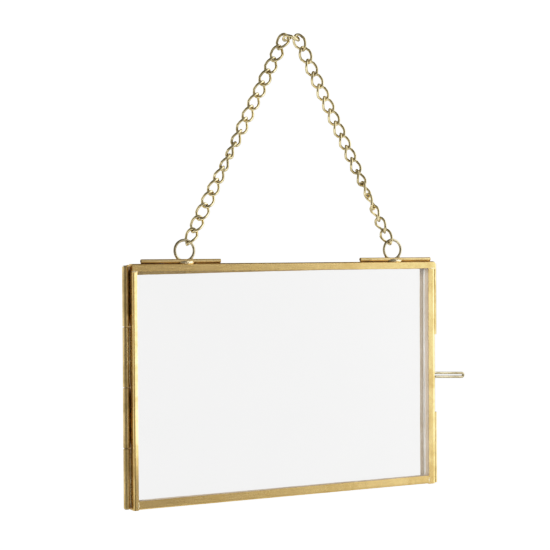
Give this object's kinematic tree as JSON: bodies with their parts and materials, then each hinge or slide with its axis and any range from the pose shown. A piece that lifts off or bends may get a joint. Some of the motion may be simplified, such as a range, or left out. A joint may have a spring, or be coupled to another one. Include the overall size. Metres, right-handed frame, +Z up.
{
  "type": "hanging double-glass photo frame",
  "caption": "Landscape photo frame of two hinged brass leaves with glass, side latch wire, ring hangers and a curb chain that hangs it from a nail.",
  "frame": {"origin": "top of the nail that carries the chain, under the middle of the chain's top link, in the plane where the two leaves meet", "axes": "+X to the right seen from the front, +Y from the front leaf to the door and on to the wall, +Z up"},
  "size_m": [0.1832, 0.0084, 0.2178],
  "materials": {
    "rail_brass": "brushed antique brass strip with patina and solder marks",
    "tube_brass": "rolled brass tube, aged",
    "wire_brass": "drawn brass wire, dull",
    "chain_brass": "bright brass curb chain with dark crevices",
    "clear_glass": "clear float glass"
  },
  "bodies": {
    "top_link": {"chain_apex_link": "chain_brass"},
    "chain": {"chain_left_link_01": "chain_brass", "chain_left_link_02": "chain_brass", "chain_left_link_03": "chain_brass", "chain_left_link_04": "chain_brass", "chain_left_link_05": "chain_brass", "chain_left_link_06": "chain_brass", "chain_left_link_07": "chain_brass", "chain_left_link_08": "chain_brass", "chain_left_link_09": "chain_brass", "chain_left_link_10": "chain_brass", "chain_left_link_11": "chain_brass", "chain_left_link_12": "chain_brass", "chain_left_link_13": "chain_brass", "chain_left_link_14": "chain_brass", "chain_left_link_15": "chain_brass", "chain_left_link_16": "chain_brass", "chain_left_link_17": "chain_brass", "chain_right_link_01": "chain_brass", "chain_right_link_02": "chain_brass", "chain_right_link_03": "chain_brass", "chain_right_link_04": "chain_brass", "chain_right_link_05": "chain_brass", "chain_right_link_06": "chain_brass", "chain_right_link_07": "chain_brass", "chain_right_link_08": "chain_brass", "chain_right_link_09": "chain_brass", "chain_right_link_10": "chain_brass", "chain_right_link_11": "chain_brass", "chain_right_link_12": "chain_brass", "chain_right_link_13": "chain_brass", "chain_right_link_14": "chain_brass", "chain_right_link_15": "chain_brass", "chain_right_link_16": "chain_brass", "chain_right_link_17": "chain_brass"},
    "front_leaf": {"front_rail_top": "rail_brass", "front_rail_bottom": "rail_brass", "front_rail_left": "rail_brass", "front_rail_right": "rail_brass", "front_glass": "clear_glass", "hanger_tube_left": "tube_brass", "hanger_tube_right": "tube_brass", "hanger_ring_left": "wire_brass", "hanger_ring_right": "wire_brass", "front_knuckle_upper": "tube_brass", "front_knuckle_lower": "tube_brass", "front_latch_tube": "tube_brass", "hinge_pin": "wire_brass"},
    "door": {"door_rail_top": "rail_brass", "door_rail_bottom": "rail_brass", "door_rail_left": "rail_brass", "door_rail_right": "rail_brass", "door_glass": "clear_glass", "door_knuckle_upper": "tube_brass", "door_knuckle_lower": "tube_brass", "door_latch_tube": "tube_brass"},
    "latch": {"latch_wire": "wire_brass"}
  },
  "joints": [
    {"name": "chain_swing", "type": "hinge", "parent": "top_link", "child": "chain", "pos_m": [0, 0, 0.001], "axis": [1, 0, 0], "range_deg": [-20, 20]},
    {"name": "frame_swing", "type": "hinge", "parent": "chain", "child": "front_leaf", "pos_m": [0, 0, -0.09431], "axis": [1, 0, 0], "range_deg": [-60, 60]},
    {"name": "door_hinge", "type": "hinge", "parent": "front_leaf", "child": "door", "pos_m": [-0.0841, 0, -0.15922], "axis": [0, 0, 1], "range_deg": [0, 180]},
    {"name": "latch_slide", "type": "slide", "parent": "front_leaf", "child": "latch", "axis": [0, 0, 1], "range_m": [-0.015, 0]}
  ]
}
